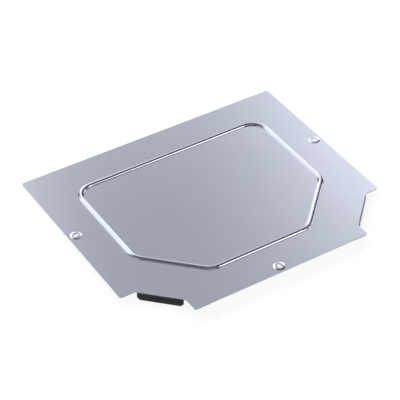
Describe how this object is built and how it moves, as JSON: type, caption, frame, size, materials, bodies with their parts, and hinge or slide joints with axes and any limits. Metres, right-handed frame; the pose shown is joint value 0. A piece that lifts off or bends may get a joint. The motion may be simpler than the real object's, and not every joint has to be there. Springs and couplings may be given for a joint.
{
  "type": "duct cover",
  "caption": "Flat sheet-steel duct cover with cut front corners, folded-down corner flanges, a raised stiffening bead and raised slotted screw pads.",
  "frame": {"origin": "middle of the flat underside of the sheet, half-way between the side edges and between the front and back edges", "axes": "+X along the back edge to the right, +Y from the front edge to the back edge, +Z out of the visible face, away from the duct"},
  "size_m": [0.36, 0.3, 0.0124],
  "materials": {
    "sheet_steel": "satin sheet steel, darker on the folded flanges"
  },
  "bodies": {
    "root": {"duct_cover": "sheet_steel"}
  },
  "joints": []
}
